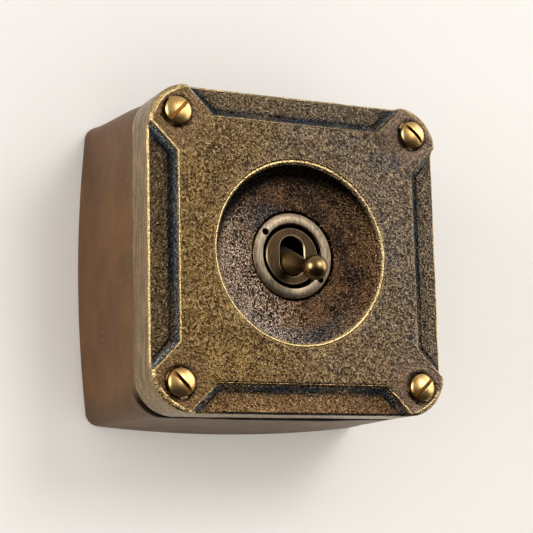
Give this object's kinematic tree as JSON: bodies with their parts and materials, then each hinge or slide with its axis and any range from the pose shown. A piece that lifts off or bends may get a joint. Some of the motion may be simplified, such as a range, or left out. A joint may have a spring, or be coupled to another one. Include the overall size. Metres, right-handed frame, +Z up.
{
  "type": "dolly light switch",
  "caption": "Square surface-mounted cast brass light switch with a dished cover, slotted screws and a two-way ball-ended dolly.",
  "frame": {"origin": "centre of the cable entry on the back face, which lies against the wall", "axes": "+Z up, +X right as seen from the front, +Y into the wall"},
  "size_m": [0.1008, 0.0691, 0.1008],
  "materials": {
    "box_bronze": "satin brown patina on cast brass",
    "cover_brass": "rough cast brass with dark patina and worn bright edges",
    "screw_brass": "polished brass",
    "ring_nickel": "brushed antique nickel",
    "bush_nickel": "dark brushed antique nickel",
    "dolly_brass": "polished antique brass",
    "plated_steel": "zinc plated steel",
    "bright_steel": "bright steel",
    "moulded_black": "moulded phenolic",
    "contact_copper": "folded copper sheet",
    "contact_silver": "silver contact",
    "terminal_brass": "plain brass"
  },
  "bodies": {
    "switch": {"back_box": "box_bronze", "cover_plate": "cover_brass", "cover_screws": "screw_brass", "bezel_ring": "ring_nickel", "slot_bush": "bush_nickel", "locking_washer": "plated_steel", "body_strap": "plated_steel", "dolly_pin": "bright_steel", "switch_body": "moulded_black", "switch_base": "moulded_black", "body_screws": "bright_steel", "rocker_pin": "bright_steel", "common_strip": "terminal_brass", "upper_strip": "terminal_brass", "lower_strip": "terminal_brass", "upper_fixed_tip": "contact_silver", "lower_fixed_tip": "contact_silver", "terminal_screws": "terminal_brass", "clamp_washers": "terminal_brass", "earth_screw": "terminal_brass", "earth_washer": "terminal_brass"},
    "dolly": {"dolly": "dolly_brass", "plunger_spring": "bright_steel"},
    "plunger": {"plunger": "bright_steel"},
    "rocker": {"contact_rocker": "contact_copper", "upper_moving_tip": "contact_silver", "lower_moving_tip": "contact_silver"}
  },
  "joints": [
    {"name": "dolly_pivot", "type": "hinge", "parent": "switch", "child": "dolly", "pos_m": [0, -0.0413, 0], "axis": [-1, 0, 0], "range_deg": [0, 27]},
    {"name": "rocker_pivot", "type": "hinge", "parent": "switch", "child": "rocker", "pos_m": [0, -0.02746, 0], "axis": [-1, 0, 0], "range_deg": [-18, 0]},
    {"name": "plunger_slide", "type": "slide", "parent": "dolly", "child": "plunger", "axis": [0, 0.9724, 0.2334], "range_m": [-0.0006, 0], "stiffness_N_per_m": 800, "deforming": ["plunger_spring"]}
  ],
  "couplings": [
    {"joint": "rocker_pivot", "follows": "dolly_pivot", "ratio": -0.6666}
  ]
}
